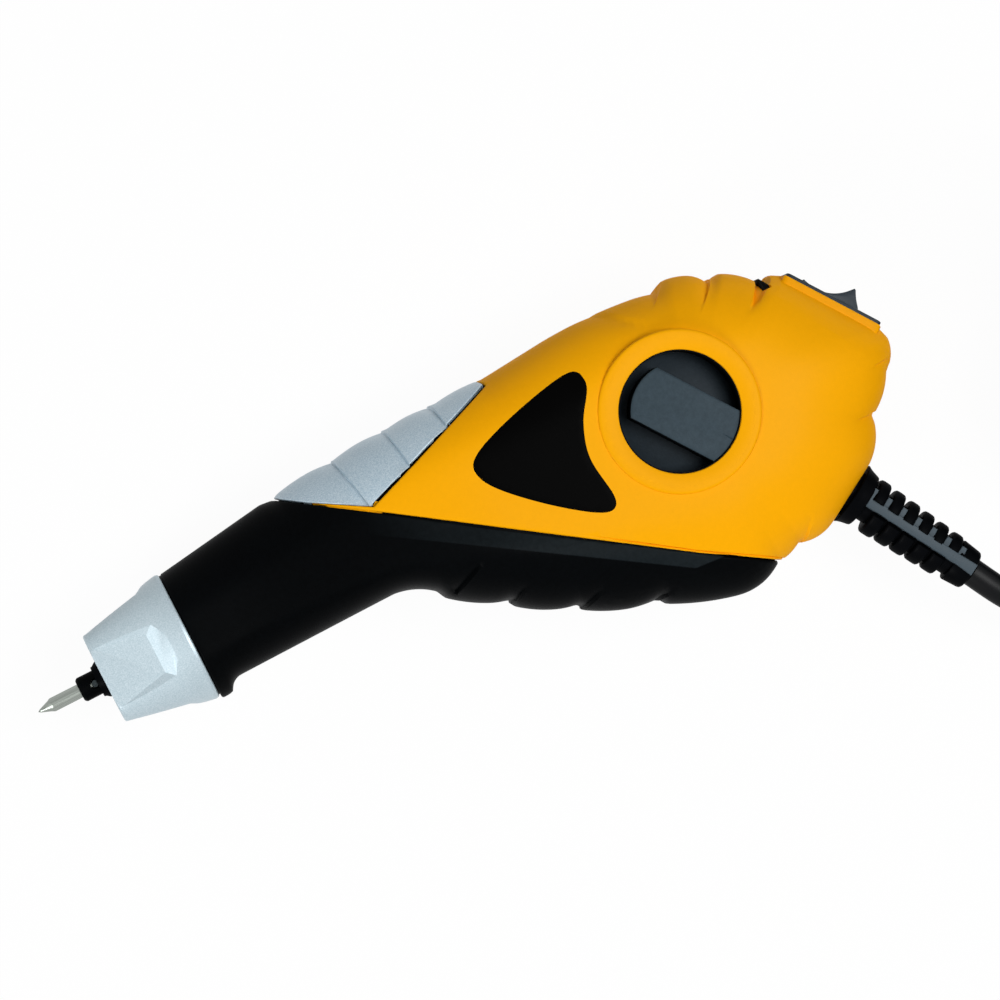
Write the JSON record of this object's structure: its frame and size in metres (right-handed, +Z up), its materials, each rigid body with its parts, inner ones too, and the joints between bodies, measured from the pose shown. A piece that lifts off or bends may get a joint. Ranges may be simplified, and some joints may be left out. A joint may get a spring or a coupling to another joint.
{
  "type": "electric engraving pen",
  "caption": "Mains engraving pen with a vibrating needle, a curved pistol-like housing, a stroke dial, a rocker switch and a coiled lead with a plug.",
  "frame": {"origin": "middle of the pen's own outline, its lead and plug not counted, on the surface that it lies on", "axes": "+X along the needle's axis from the point to the rear, +Y towards the top of the grip, +Z up from the surface, out of the side with the dial"},
  "size_m": [0.3051, 0.1133, 0.0426],
  "materials": {
    "orange_plastic": "fine grained moulding",
    "black_plastic": "fine grained moulding",
    "silver_paint": "satin",
    "grey_plastic": "satin",
    "black_rubber": "matt",
    "steel": "ground",
    "bronze": "turned",
    "copper": "enamelled wire",
    "white_plastic": "satin"
  },
  "bodies": {
    "housing": {"left_housing": "orange_plastic", "right_housing": "orange_plastic", "left_grip": "black_plastic", "right_grip": "black_plastic", "top_trim": "silver_paint", "label_plate": "black_plastic", "housing_screw_1": "steel", "housing_screw_2": "steel", "housing_screw_3": "steel", "housing_screw_4": "steel", "housing_screw_5": "steel", "nose_cap": "silver_paint", "nose_boot": "black_rubber", "front_bush": "bronze", "rear_guide": "bronze", "return_spring": "steel", "stator_core": "steel", "coil_bobbin": "white_plastic", "coil_winding": "copper", "switch_frame": "black_plastic", "switch_terminal_1": "bronze", "switch_terminal_2": "bronze", "strain_relief": "black_rubber", "inner_lead": "black_rubber", "clamp_screw_1": "steel", "clamp_screw_2": "steel", "cord_clamp": "white_plastic", "power_cord": "black_rubber", "power_cord_coil": "black_rubber", "plug_body": "black_rubber", "plug_pin_1": "bronze", "plug_pin_2": "bronze"},
    "spindle_unit": {"carbide_needle": "steel", "needle_holder": "black_plastic", "needle_set_screw": "steel", "spindle": "steel", "spring_collar": "steel", "armature": "steel"},
    "dial_unit": {"depth_dial": "grey_plastic", "stroke_cam": "white_plastic"},
    "stop": {"stroke_stop": "steel"},
    "rocker": {"switch_rocker": "black_plastic"}
  },
  "joints": [
    {"name": "spindle_slide", "type": "slide", "parent": "housing", "child": "spindle_unit", "axis": [1, 0, 0], "range_m": [-0.0003, 0.0003], "stiffness_N_per_m": 2000},
    {"name": "dial_turn", "type": "hinge", "parent": "housing", "child": "dial_unit", "pos_m": [0.04873, 0.0178, 0.0152], "axis": [0, 0, 1], "range_deg": [-135, 135]},
    {"name": "stop_slide", "type": "slide", "parent": "housing", "child": "stop", "axis": [1, 0, 0], "range_m": [-0.00071, 0.00071]},
    {"name": "rocker_tip", "type": "hinge", "parent": "housing", "child": "rocker", "pos_m": [0.08881, 0.0222, 0.021], "axis": [0, 0, 1], "range_deg": [-34.8, 0]}
  ],
  "couplings": [
    {"joint": "stop_slide", "follows": "dial_turn", "m_per_rad": 0.00029709}
  ]
}
